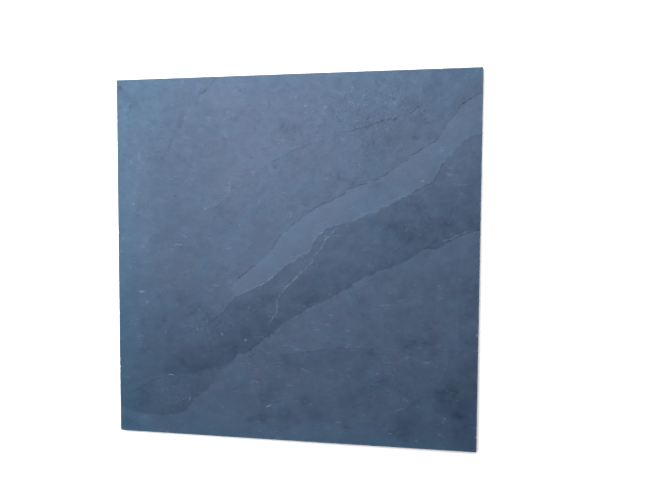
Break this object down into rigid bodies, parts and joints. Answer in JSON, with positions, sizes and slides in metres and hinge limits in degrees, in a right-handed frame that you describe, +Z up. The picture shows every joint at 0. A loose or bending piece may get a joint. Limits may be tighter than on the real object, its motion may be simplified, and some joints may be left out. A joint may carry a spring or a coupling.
{
  "type": "slate tile",
  "caption": "Square riven slate floor tile lying face up, with low ragged ledges across the face, sawn edges and a gauged, grooved back.",
  "frame": {"origin": "centre of the flat back, on the plane the tile rests on", "axes": "+Z up out of the riven face, +X towards the right edge of the face and +Y towards its top edge, as the picture shows it"},
  "size_m": [0.6, 0.6, 0.0099],
  "materials": {
    "slate": "riven, satin"
  },
  "bodies": {
    "root": {"slate_tile": "slate"}
  },
  "joints": []
}
